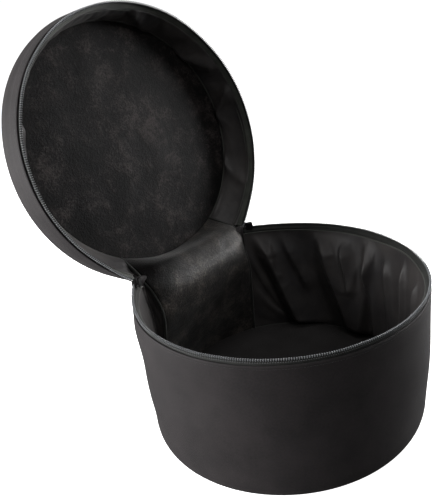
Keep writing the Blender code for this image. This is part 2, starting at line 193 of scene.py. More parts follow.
@dataclass(frozen=True)
class Half:
    """The body or the lid, which maps offset, level and angle to a place.

    The outline is round at the panel, and flat along the spine at the rim. The bow is how far
    the spine curves inwards half way down.
    """

    depth: float
    is_lid: bool
    bow: float

    def place(self, offset: Array | float, level: Array | float, angle: Array | float) -> Array:
        """Points of the wall or the spine.

        Args:
            offset: Distance inwards from the outside face.
            level: Distance from the rim's plane.
            angle: Turn from +Y towards +X.
        Returns:
            An array with x, y and z last.
        """
        offset, level, angle = np.broadcast_arrays(offset, level, angle)
        turn = (angle + math.pi) % math.tau - math.pi
        share = np.clip(level / (self.depth - SIZES.round_before), 0, 1)
        past = np.maximum(np.abs(turn) - SIZES.spine_half_angle, 0)
        bulge = SIZES.corner_bulge * np.exp(-((past / SIZES.bulge_turn) ** 2)) * (1 - share) ** 2
        radius = SIZES.radius - offset + bulge
        y = radius * np.cos(turn)
        flat = (SIZES.radius - offset) * math.cos(SIZES.spine_half_angle)
        inside = np.abs(turn) < SIZES.spine_half_angle
        across = 1 - (turn / SIZES.spine_half_angle) ** 2
        curved = flat + (y - flat) * share - self.bow * np.sin(math.pi * share) * across
        z = SIZES.height + (level if self.is_lid else -level)
        points = np.stack([radius * np.sin(turn), np.where(inside, curved, y), z], axis=-1)
        return hang(points) if self.is_lid else points

    @property
    def body(self) -> str:
        """The rigid body that this half's pieces ride on."""
        return "lid" if self.is_lid else "bag_body"


BODY = Half(SIZES.height, False, 8 * MM)
LID = Half(SIZES.lid_depth, True, 0.0)


def grid_normals(grid: Array, wraps: bool) -> Array:
    """Unit normals of a grid of points, whose last column may meet the first.

    Args:
        grid: Points by row and column.
        wraps: Whether the last column meets the first.
    Returns:
        Normals by row and column.
    """
    if wraps:
        along = np.roll(grid, -1, axis=1) - np.roll(grid, 1, axis=1)
    else:
        along = np.gradient(grid, axis=1)
    normals = np.cross(along, np.gradient(grid, axis=0))
    length = np.linalg.norm(normals, axis=-1, keepdims=True)
    return normals / np.maximum(length, 1e-12)


def grid_faces(rows: int, columns: int, wraps: bool, first: int = 0, turned: bool = False) -> Faces:
    """Quads between the points of a grid.

    Args:
        rows: Rows of points.
        columns: Columns of points.
        wraps: Whether the last column meets the first.
        first: Number of the grid's first point.
        turned: Whether the faces look the other way.
    Returns:
        The faces' corners.
    """
    made = []
    for row in range(rows - 1):
        for column in range(columns if wraps else columns - 1):
            right = (column + 1) % columns
            here = first + row * columns
            quad = (here + column, here + right, here + columns + right, here + columns + column)
            made.append(quad[::-1] if turned else quad)
    return made


def capped_faces(rows: int, sides: int) -> Faces:
    """Faces of a tube through rings of points, with a cap at each end.

    Args:
        rows: Rings of points.
        sides: Points of each ring.
    Returns:
        The faces' corners.
    """
    last = (rows - 1) * sides
    caps = [tuple(range(sides)), tuple(range(last, last + sides))[::-1]]
    return grid_faces(rows, sides, True, 0, True) + caps


def refine(grid: Array) -> Array:
    """Doubles the points of each row of a grid along smooth curves.

    Args:
        grid: Points by row and column.
    Returns:
        The finer grid.
    """
    line = np.moveaxis(grid, 1, 0)
    ends = np.concatenate([2 * line[:1] - line[1:2], line, 2 * line[-1:] - line[-2:-1]])
    between = (9 * (line[:-1] + line[1:]) - ends[:-3] - ends[3:]) / 16
    fine = np.empty((2 * len(line) - 1, *line.shape[1:]))
    fine[::2], fine[1::2] = line, between
    return np.moveaxis(fine, 0, 1)


def spread_uv(grid: Array) -> Array:
    """Texture places in metres: along the middle row, and down each column.

    Args:
        grid: Points by row and column.
    Returns:
        Two numbers for each point.
    """
    steps = np.linalg.norm(np.diff(grid[grid.shape[0] // 2], axis=0), axis=-1)
    along = np.concatenate([[0.0], np.cumsum(steps)])
    drops = np.linalg.norm(np.diff(grid, axis=0), axis=-1)
    down = np.concatenate([np.zeros((1, grid.shape[1])), np.cumsum(drops, axis=0)])
    return np.stack([np.broadcast_to(along, down.shape), down], axis=-1)


@dataclass
class Piece:
    """One visible piece: a mesh with its texture places, finish, material slot and body."""

    name: str
    finish: "Finish"
    body: str
    slot: str
    replaces: Sequence[str] = ()

    def from_mesh(self, points: Array, faces: Faces, uv: Array) -> Object:
        """Builds the object.

        Args:
            points: Places of all points. Those that meet are merged.
            faces: Corners of each face.
            uv: Texture place of each point, in metres.
        Returns:
            The object, riding on its body.
        """
        mesh = bpy.data.meshes.new(self.name)
        mesh.from_pydata(points.reshape(-1, 3).tolist(), [], faces)
        layer = mesh.uv_layers.new(name="metres")
        corners = np.zeros(len(mesh.loops), np.int32)
        mesh.loops.foreach_get("vertex_index", corners)
        layer.data.foreach_set("uv", uv.reshape(-1, 2)[corners].astype(np.float32).ravel())
        merged = bmesh.new()
        merged.from_mesh(mesh)
        bmesh.ops.remove_doubles(merged, verts=merged.verts[:], dist=0.001 * MM)
        merged.to_mesh(mesh)
        merged.free()
        mesh.validate()
        mesh.shade_smooth()
        return self.dress(mesh)

    def dress(self, mesh: bpy.types.Mesh) -> Object:
        """Makes an object of a mesh, with its finish and body, in place of CAD nodes.

        Args:
            mesh: The piece's mesh.
        Returns:
            The object, riding on its body.
        """
        made = bpy.data.objects.new(self.name, mesh)
        bpy.context.scene.collection.objects.link(made)
        made.data.materials.clear()
        made.data.materials.append(self.finish.material())
        if self.replaces:
            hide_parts(*self.replaces)
        if self.body:
            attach(made, self.body)
        LOG.info("%s: %d faces", self.name, len(made.data.polygons))
        return made

    def layer(
        self, grid: Array, thickness: float, inside: Array, uv: Array | None = None, wraps: bool = False
    ) -> Object:
        """A closed layer of cloth or padding on one side of a grid of points.

        Args:
            grid: Points of the visible face, by row and column.
            thickness: How thick the layer is.
            inside: What the visible face looks away from, as one point or one for each point.
            uv: Texture place of each point, if it isn't the length along the grid.
            wraps: Whether the last column meets the first.
        Returns:
            The object.
        """
        uv = spread_uv(grid) if uv is None else uv
        normals = grid_normals(grid, wraps)
        turned = float(np.mean(np.sum(normals * (grid - inside), axis=-1))) < 0
        if turned:
            normals = -normals
        if wraps:
            middle = normals[1].mean(axis=0)
            normals[0] = middle / np.linalg.norm(middle)
        back = grid - normals * thickness
        # A grid's quads look against its normals, so those of the front are turned round.
        sheets = [(grid, uv, wraps, not turned), (back, uv, wraps, turned)]
        for end, flip in ((0, turned), (-1, not turned)):
            sheets.append((np.stack([grid[end], back[end]]), np.stack([uv[end]] * 2), wraps, flip))
            if not wraps:
                side = np.stack([grid[:, end], back[:, end]])
                sheets.append((side, np.stack([uv[:, end]] * 2), False, not flip))
        points, places, faces, count = [], [], [], 0
        for sheet, place, loops, flip in sheets:
            faces += grid_faces(*sheet.shape[:2], loops, count, flip)
            points.append(sheet.reshape(-1, 3))
            places.append(place.reshape(-1, 2))
            count += len(points[-1])
        return self.from_mesh(np.concatenate(points), faces, np.concatenate(places))

    def tube(self, line: Array, radius: float, closed: bool = False) -> Object:
        """A cord along a line, which may be a loop.

        Args:
            line: Points of its middle.
            radius: Its radius.
            closed: Whether the line is a loop.
        Returns:
            The object.
        """
        if closed:
            along = np.roll(line, -1, axis=0) - np.roll(line, 1, axis=0)
        else:
            along = np.gradient(line, axis=0)
        along /= np.linalg.norm(along, axis=-1, keepdims=True)
        spare = np.where(np.abs(along[:, 2:]) < 0.9, np.array([[0, 0, 1.0]]), np.array([[1.0, 0, 0]]))
        first = np.cross(along, spare)
        first /= np.linalg.norm(first, axis=-1, keepdims=True)
        second = np.cross(along, first)
        turn = np.linspace(0, math.tau, TUBE_SIDES + 1)[:-1]
        cos, sin = np.cos(turn)[None, :, None], np.sin(turn)[None, :, None]
        points = line[:, None, :] + (cos * first[:, None, :] + sin * second[:, None, :]) * radius
        if closed:
            points = np.concatenate([points, points[:1]])
        rows = len(points)
        faces = grid_faces(rows, TUBE_SIDES, True, 0, True) if closed else capped_faces(rows, TUBE_SIDES)
        length = np.linspace(0, rows * radius, rows)[:, None]
        uv = np.stack(np.broadcast_arrays(length, turn[None, :] * radius), axis=-1)
        return self.from_mesh(points, faces, uv)


# Finishes


class Nodes:
    """A node tree, with one short way to add a node."""

    def __init__(self, tree: bpy.types.NodeTree) -> None:
        """Takes the tree to add to."""
        self.tree = tree

    def add(self, kind: str, settings: dict | None = None, inputs: dict | None = None) -> bpy.types.Node:
        """Adds a node.

        Args:
            kind: The node's type.
            settings: Properties of the node, which are set before its inputs.
            inputs: Values or output sockets, by input name or number.
        Returns:
            The node.
        """
        node = self.tree.nodes.new(kind)
        for name, value in (settings or {}).items():
            setattr(node, name, value)
        for name, value in (inputs or {}).items():
            if isinstance(value, Socket):
                self.tree.links.new(value, node.inputs[name])
            else:
                node.inputs[name].default_value = value
        return node

    def seen_or_lit(self, target: Socket, lit: float, seen: float) -> None:
        """Gives an input one value as light and another one as the camera sees it.

        Args:
            target: The input to set.
            lit: Its value as light.
            seen: Its value to the camera.
        """
        ray = self.add("ShaderNodeLightPath").outputs["Is Camera Ray"]
        change = self.add("ShaderNodeMapRange", None, {"Value": ray, "To Min": lit, "To Max": seen})
        self.tree.links.new(change.outputs["Result"], target)


class Paint(Nodes):
    """A material's node tree."""

    def __init__(self, material: bpy.types.Material) -> None:
        """Empties the tree and adds the shader and the output."""
        material.use_nodes = True
        super().__init__(material.node_tree)
        self.tree.nodes.clear()
        self.shader = self.add("ShaderNodeBsdfPrincipled")
        self.add("ShaderNodeOutputMaterial", None, {"Surface": self.shader.outputs["BSDF"]})

    def link(self, source: Socket, name: str) -> None:
        """Links a socket to an input of the shader."""
        self.tree.links.new(source, self.shader.inputs[name])

    def tone(self, factor: Socket, *stops: tuple[float, str]) -> None:
        """Colours the shader by a ramp of places and sRGB colours.

        Args:
            factor: What the ramp reads.
            stops: Places and colours.
        """
        node = self.add("ShaderNodeValToRGB", None, {"Fac": factor})
        elements = node.color_ramp.elements
        while len(elements) < len(stops):
            elements.new(0.5)
        for element, (place, colour) in zip(elements, stops):
            element.position, element.color = place, linear(colour)
        self.link(node.outputs["Color"], "Base Color")

    def maths(self, operation: str, first: object, second: object = 0.0) -> Socket:
        """A sum, product or other operation of two values or sockets."""
        return self.add("ShaderNodeMath", {"operation": operation}, {0: first, 1: second}).outputs[0]

    def mix(self, first: Socket, second: Socket, share: float) -> Socket:
        """The first socket with a share of the second one in it."""
        rest = self.maths("MULTIPLY", first, 1 - share)
        return self.maths("ADD", rest, self.maths("MULTIPLY", second, share))

    def noise(self, place: Socket, size: float, detail: float = 3.0, **inputs: float) -> Socket:
        """Noise with features of a real size in metres."""
        values = {"Vector": place, "Scale": 1 / size, "Detail": detail, **inputs}
        return self.add("ShaderNodeTexNoise", None, values).outputs["Fac"]

    def bump(self, height: Socket, depth: float, strength: float, under: Socket | None = None) -> Socket:
        """A bump of a real depth in metres, on top of another one if given.

        Args:
            height: The height, about 0 to 1.
            depth: The depth in metres.
            strength: How strongly it shows.
            under: The bump below it.
        Returns:
            The normal's socket.
        """
        inputs = {"Height": height, "Distance": depth, "Strength": strength}
        if under is not None:
            inputs["Normal"] = under
        return self.add("ShaderNodeBump", None, inputs).outputs["Normal"]

    def cloth_place(self) -> Socket:
        """The piece's own texture place, in metres along its threads."""
        return self.add("ShaderNodeUVMap", {"uv_map": "metres"}).outputs["UV"]

    def object_place(self) -> Socket:
        """The place on the object, in metres."""
        return self.add("ShaderNodeTexCoord").outputs["Object"]

    def weave(self, pitch: float) -> Socket:
        """The height of threads that cross over and under each other.

        Args:
            pitch: Distance between threads in metres.
        Returns:
            The height's socket.
        """
        parts = self.add("ShaderNodeSeparateXYZ", None, {"Vector": self.cloth_place()})
        turns = [self.maths("MULTIPLY", parts.outputs[axis], math.pi / pitch) for axis in ("X", "Y")]
        return self.maths("MULTIPLY", *(self.maths("SINE", turn) for turn in turns))


def linear(hex_colour: str) -> tuple[float, float, float, float]:
    """Turns an sRGB colour of six hexadecimal digits into linear red, green, blue and 1.

    Args:
        hex_colour: The digits.
    Returns:
        The four numbers.
    """
    made = []
    for start in (0, 2, 4):
        value = int(hex_colour[start:start + 2], 16) / 255
        made.append(value / 12.92 if value <= 0.04045 else ((value + 0.055) / 1.055) ** 2.4)
    return (*made, 1.0)


@dataclass(frozen=True)
class Finish:
    """A real material, how it was made, and the numbers that give its look.

    The pitch is that of its threads. Pale and middle are its lighter tones, and the shade centre is
    the place round which the plush is painted darker and duller, as painted shade.
    """

    name: str
    colour: str
    roughness: float
    sheen: float = 0.0
    paint: Callable[[Paint, "Finish"], None] | None = None
    pitch: float = 0.6 * MM
    pale: str = ""
    gloss: float = 0.5
    middle: str = ""
    # The centre of painted shade on the plush, or None.
    painted_shade_centre: tuple[float, float, float] | None = None

    def material(self) -> bpy.types.Material:
        """The finish's material, made once."""
        found = bpy.data.materials.get(self.name)
        if found:
            return found
        made = bpy.data.materials.new(self.name)
        paint = Paint(made)
        for name, value in (
            ("Base Color", linear(self.colour)), ("Roughness", self.roughness), ("IOR", 1.5),
            ("Specular IOR Level", self.gloss), ("Sheen Weight", self.sheen), ("Sheen Roughness", 0.5),
        ):
            paint.shader.inputs[name].default_value = value
        if self.paint:
            self.paint(paint, self)
        return made


def paint_nylon(paint: Paint, finish: Finish) -> None:
    """Coated plain-weave nylon: fine crossed threads, slightly uneven in tone."""
    patches = paint.noise(paint.object_place(), 40 * MM, 4.0, Roughness=0.6)
    slubs = paint.noise(paint.cloth_place(), 2.6 * MM, 2.0)
    paint.tone(paint.mix(patches, slubs, 0.4), (0.38, finish.colour), (0.66, finish.pale))
    grain = paint.noise(paint.cloth_place(), 1.1 * MM, 2.0)
    base = paint.bump(grain, 0.10 * MM, 0.5)
    paint.link(paint.bump(paint.weave(finish.pitch), 0.10 * MM, 0.7, base), "Normal")


def paint_satin(paint: Paint, finish: Finish) -> None:
    """Thin satin lining: smooth floats of thread with soft creases, so it shines in bands."""
    place = paint.object_place()
    paint.tone(paint.noise(place, 55 * MM), (0.35, finish.colour), (0.68, finish.pale))
    crease = paint.noise(place, 18 * MM, 5.0, Distortion=0.6)
    paint.link(paint.bump(crease, 1.4 * MM, 0.35), "Normal")


def paint_plush(paint: Paint, finish: Finish) -> None:
    """Brushed pile in uneven pale and dark patches, with painted shade round a given point."""
    place = paint.object_place()
    lay = paint.noise(place, 34 * MM, 9.0, Roughness=0.72, Distortion=0.25)
    tufts = paint.noise(place, 2.6 * MM, Roughness=0.7)
    mixed = paint.mix(lay, tufts, 0.34)
    # Painted shade: within about 30 to 68 mm of the shade centre the tone is lowered and the gloss and sheen
    # fall, for the shelf that lies in shade.
    if finish.painted_shade_centre:
        away = paint.add("ShaderNodeVectorMath", {"operation": "DISTANCE"}, {0: place, 1: finish.painted_shade_centre})
        shade_reach = {"Value": away.outputs["Value"], "From Min": 30 * MM, "From Max": 68 * MM}
        shade_darkening = paint.add("ShaderNodeMapRange", None, {**shade_reach, "To Min": -0.16, "To Max": 0.0})
        mixed = paint.maths("ADD", mixed, shade_darkening.outputs["Result"])
        for name, most in (("Specular IOR Level", finish.gloss), ("Sheen Weight", finish.sheen)):
            shine = paint.add("ShaderNodeMapRange", None, {**shade_reach, "To Min": 0.1 * most, "To Max": most})
            paint.link(shine.outputs["Result"], name)
    paint.tone(mixed, (0.42, finish.colour), (0.51, finish.middle), (0.62, finish.pale))
    paint.link(paint.bump(tufts, 0.9 * MM, 0.6, paint.bump(lay, 3.0 * MM, 0.5)), "Normal")


def paint_tape(paint: Paint, finish: Finish) -> None:
    """Woven zip tape: fine ribs that run along it."""
    parts = paint.add("ShaderNodeSeparateXYZ", None, {"Vector": paint.cloth_place()})
    ribs = paint.maths("SINE", paint.maths("MULTIPLY", parts.outputs["Y"], math.tau / finish.pitch))
    paint.tone(paint.noise(paint.object_place(), 12 * MM), (0.35, finish.colour), (0.65, finish.pale))
    paint.link(paint.bump(ribs, 0.12 * MM, 0.6), "Normal")


def paint_webbing(paint: Paint, finish: Finish) -> None:
    """Heavy webbing: thick crossed ribs."""
    paint.link(paint.bump(paint.weave(finish.pitch), 0.4 * MM, 0.8), "Normal")


def paint_zinc(paint: Paint, finish: Finish) -> None:
    """Die-cast zinc under black stove paint: smooth, with a little orange peel."""
    paint.shader.inputs["Coat Weight"].default_value = 0.4
    paint.link(paint.bump(paint.noise(paint.object_place(), 0.8 * MM), 0.05 * MM, 0.5), "Normal")


NYLON = Finish("black_nylon_cloth", "1a1718", 0.72, 0.03, paint_nylon, 0.7 * MM, "262223", 0.2)
SATIN = Finish("thin_satin_lining", "211f20", 0.54, 0.03, paint_satin, pale="343130", gloss=0.3)
BASE_CLOTH = Finish("base_panel_cloth", "201e1e", 0.8, 0.05, paint_nylon, 0.7 * MM, "2a2828", 0.2)
# PLUSH and the copy below are the same black plush: the lid's copy is drawn darker, and the spine's paler and
# glossier.
PLUSH = Finish(
    "brushed_black_plush", "030303", 0.6, 0.03, paint_plush, pale="302b2a", gloss=0.1, middle="0d0b0b",
)
# The spine's plush: paler and glossier than the lid's as a painted highlight on the roll, with painted shade
# on the shelf round its shade centre.
SPINE_PLUSH_PAINTED_LIGHT = Finish(
    "brushed_black_plush_painted_light", "070606", 0.48, 0.1, paint_plush, pale="46403c", gloss=0.26,
    middle="1c1a18", painted_shade_centre=(-90 * MM, 160 * MM, 222 * MM),
)
TAPE = Finish("woven_zip_tape", "171816", 0.75, 0.1, paint_tape, 0.9 * MM, "1f201e", 0.2)
BINDING = Finish("grey_green_binding_tape", "2a2c28", 0.7, 0.15, paint_tape, 1.1 * MM, "363833", 0.25)
EDGE = Finish("folded_binding_edge", "30322d", 0.65, 0.2, gloss=0.3)
COIL = Finish("nylon_zip_coil", "707275", 0.32)
SEWING = Finish("zip_sewing_thread", "4c4d4e", 0.5, 0.1)
THREAD = Finish("black_sewing_thread", "121111", 0.6, 0.2, gloss=0.3)
ZINC = Finish("black_painted_zinc", "0a0a0b", 0.3, 0.0, paint_zinc)
WEBBING = Finish("heavy_black_webbing", "181717", 0.75, 0.1, paint_webbing, 1.6 * MM, gloss=0.25)
PAPER = Finish("white_paper_sweep", "f7f7f7", 0.9)


# Rows of repeated parts


class RowShape(Enum):
    """What a row repeats along its line."""

    COIL_TURN = "coil_turn"
    STITCH = "stitch"


class RowNodes(Nodes):
    """A Geometry Nodes group that repeats a small shape along a line at a real pitch."""

    def __init__(self, shape: RowShape) -> None:
        """Builds the group for a shape."""
        super().__init__(bpy.data.node_groups.new("row_of_" + shape.value, "GeometryNodeTree"))
        self.sockets = {}
        for name, kind, default in (
            ("Line", "Geometry", None), ("Pitch", "Float", 1.6 * MM), ("Reach", "Float", 1.3 * MM),
            ("Thickness", "Float", 0.45 * MM), ("Finish", "Material", None),
        ):
            socket = self.tree.interface.new_socket(name, in_out="INPUT", socket_type="NodeSocket" + kind)
            if default is not None:
                socket.default_value = default
            self.sockets[name] = socket.identifier
        self.tree.interface.new_socket("Row", in_out="OUTPUT", socket_type="NodeSocketGeometry")
        self.entry = self.add("NodeGroupInput").outputs
        line = self.first("GeometryNodeMeshToCurve", {"Mesh": self.entry["Line"]})
        # The mode comes first, because the length input counts in that mode alone.
        places = self.first(
            "GeometryNodeResampleCurve", {"Curve": line, "Length": self.entry["Pitch"]}, {"mode": "LENGTH"})
        instance = self.coil_turn() if shape is RowShape.COIL_TURN else self.stitch()
        turn = self.first(
            "FunctionNodeAlignRotationToVector",
            {"Vector": self.first("GeometryNodeInputTangent")}, {"axis": "Z"})
        copies = self.first(
            "GeometryNodeInstanceOnPoints", {"Points": places, "Instance": instance, "Rotation": turn})
        solid = self.first("GeometryNodeRealizeInstances", {"Geometry": copies})
        final = self.first("GeometryNodeSetMaterial", {"Geometry": solid, "Material": self.entry["Finish"]})
        self.add("NodeGroupOutput", None, {0: final})

    def first(self, kind: str, inputs: dict | None = None, settings: dict | None = None) -> Socket:
        """Adds a node and gives its first output."""
        return self.add(kind, settings, inputs).outputs[0]

    def coil_turn(self) -> Socket:
        """One turn of the coil: a ring of wire across the line."""
        circle = "GeometryNodeCurvePrimitiveCircle"
        ring = self.first(circle, {"Resolution": 12, "Radius": self.entry["Reach"]})
        wire = self.first(circle, {"Resolution": 5, "Radius": self.entry["Thickness"]})
        return self.first("GeometryNodeCurveToMesh", {"Curve": ring, "Profile Curve": wire})

    def stitch(self) -> Socket:
        """One stitch: a short bead of thread along the line."""
        ball = self.first("GeometryNodeMeshUVSphere", {"Segments": 6, "Rings": 4, "Radius": 1.0})
        thick = self.entry["Thickness"]
        size = self.first("ShaderNodeCombineXYZ", {"X": thick, "Y": thick, "Z": self.entry["Reach"]})
        return self.first("GeometryNodeTransform", {"Geometry": ball, "Scale": size})


@cache
def row_nodes(shape: RowShape) -> RowNodes:
    """The node group for a shape, made once."""
    return RowNodes(shape)


def row(piece: Piece, shape: RowShape, line: Array, pitch: float, reach: float, thickness: float) -> Object:
    """Repeats a shape along a line and turns the result into a plain mesh.

    Args:
        piece: Name, finish and body of the row.
        shape: What is repeated.
        line: Points of the line.
        pitch: Distance between copies.
        reach: Radius of a coil turn, or half the length of a stitch.
        thickness: Radius of the wire or thread.
    Returns:
        The object.
    """
    nodes = row_nodes(shape)
    mesh = bpy.data.meshes.new(piece.name + "_line")
    mesh.from_pydata(line.tolist(), [(i, i + 1) for i in range(len(line) - 1)], [])
    holder = bpy.data.objects.new(piece.name + "_line", mesh)
    bpy.context.scene.collection.objects.link(holder)
    modifier = holder.modifiers.new("row", "NODES")
    modifier.node_group = nodes.tree
    for name, value in (
        ("Pitch", pitch), ("Reach", reach), ("Thickness", thickness), ("Finish", piece.finish.material()),
    ):
        modifier[nodes.sockets[name]] = value
    graph = bpy.context.evaluated_depsgraph_get()
    solid = bpy.data.meshes.new_from_object(holder.evaluated_get(graph), depsgraph=graph)
    bpy.data.objects.remove(holder)
    solid.shade_smooth()
    solid.name = piece.name
    return piece.dress(solid)


# Loose cloth


CLOTH = {
    "quality": 6, "mass": 0.12, "tension_stiffness": 12, "compression_stiffness": 12,
    "shear_stiffness": 3, "bending_stiffness": 0.6, "air_damping": 4,
}
CLOTH_GRAVITY = 0.3
CLOTH_FRAMES = 24
LOOSENESS = 0.03


def settle(grid: Array, pinned: Array) -> Array:
    """Lets a sheet of cloth that is cut slightly too large settle into folds.

    Args:
        grid: Points of the sheet by row and column.
        pinned: Which points are sewn down.
    Returns:
        The sheet's points after settling.
    """
    rows, columns = grid.shape[:2]
    mesh = bpy.data.meshes.new("cloth_in_work")
    mesh.from_pydata(grid.reshape(-1, 3).tolist(), [], grid_faces(rows, columns, False))
    sheet = bpy.data.objects.new("cloth_in_work", mesh)
    scene = bpy.context.scene
    scene.collection.objects.link(sheet)
    group = sheet.vertex_groups.new(name="sewn")
    group.add(np.flatnonzero(pinned.ravel()).tolist(), 1.0, "REPLACE")
    cloth = sheet.modifiers.new("cloth", "CLOTH").settings
    cloth.vertex_group_mass = "sewn"
    for name, value in CLOTH.items():
        setattr(cloth, name, value)
    cloth.shrink_min = cloth.shrink_max = -LOOSENESS
    cloth.effector_weights.gravity = CLOTH_GRAVITY
    scene.frame_start, scene.frame_end = 1, CLOTH_FRAMES
    for frame in range(1, CLOTH_FRAMES + 1):
        scene.frame_set(frame)
    graph = bpy.context.evaluated_depsgraph_get()
    result = bpy.data.meshes.new_from_object(sheet.evaluated_get(graph), depsgraph=graph)
    flat = np.zeros(rows * columns * 3)
    result.vertices.foreach_get("co", flat)
    bpy.data.objects.remove(sheet)
    scene.frame_set(1)
    return flat.reshape(rows, columns, 3)


@dataclass(frozen=True)
class Fold:
    """A soft ridge in the lining, from one place to another, in degrees of turn and share of depth.

    A leaning ridge is steeper on one side.
    """

    start: tuple[float, float]
    end: tuple[float, float]
    width: float
    height: float
    lean: float = 0.0

    def lift(self, angle: Array, share: Array, depth: float) -> Array:
        """How far the ridge stands inwards at each place.

        Args:
            angle: Turn in degrees.
            share: Share of the half's depth.
            depth: The half's depth in metres.
        Returns:
            Heights in metres.
        """
        metres = math.radians(1) * SIZES.radius
        first = np.array([self.start[0] * metres, self.start[1] * depth])
        last = np.array([self.end[0] * metres, self.end[1] * depth])
        length = np.linalg.norm(last - first)
        unit = (last - first) / length
        du = angle * metres - first[0]
        dv = share * depth - first[1]
        along = (du * unit[0] + dv * unit[1]) / length
        across = (du * -unit[1] + dv * unit[0]) / self.width
        across = np.where(across > 0, across * (1 + self.lean), across * (1 - self.lean))
        ends = smooth(along * 4 + 0.8) * smooth((1 - along) * 4 + 0.8)
        return self.height * np.exp(-(across ** 2)) * ends


BODY_FOLDS = (
    Fold((38, 0.06), (62, 0.97), 13 * MM, 14 * MM, 0.6),
    Fold((50, 0.04), (64, 0.5), 9 * MM, 6 * MM, 0.4),
    Fold((69, 0.02), (90, 0.88), 15 * MM, 14 * MM, 0.6),
    Fold((84, 0.15), (90, 0.5), 9 * MM, 7 * MM, 0.3),
    Fold((99, 0.3), (97, 0.88), 10 * MM, 7 * MM, -0.4),
    Fold((96, 0.08), (108, 0.9), 9 * MM, 8 * MM, 0.4),
    Fold((110, 0.25), (118, 0.95), 7 * MM, 6 * MM, 0.3),
    Fold((123, 0.1), (127, 0.85), 7 * MM, 6 * MM),
    Fold((138, 0.2), (140, 0.9), 8 * MM, 6 * MM),
    Fold((220, 0.1), (240, 0.9), 14 * MM, 8 * MM),
    Fold((270, 0.1), (255, 0.9), 14 * MM, 7 * MM),
    Fold((300, 0.1), (318, 0.9), 14 * MM, 8 * MM),
)
LID_FOLDS = (
    Fold((58, 0.3), (72, 0.95), 9 * MM, 5 * MM),
    Fold((92, 0.95), (106, 0.3), 9 * MM, 5 * MM),
    Fold((120, 0.3), (136, 0.95), 10 * MM, 5 * MM),
    Fold((152, 0.95), (166, 0.3), 9 * MM, 4 * MM),
    Fold((250, 0.3), (262, 0.95), 9 * MM, 4 * MM),
)


# The walls of both halves


HEM = np.array([[3.6, 15.0], [3.0, 11.0], [2.2, 9.0], [1.0, 8.4], [0.1, 9.2], [-0.1, 11.5], [0.0, 15.0]]) * MM
HEM_STITCH_LEVEL = 12.5 * MM
LINING_TOP = 11 * MM
TAPE_MARGIN = 0.012
ROUND_PLACES = 361


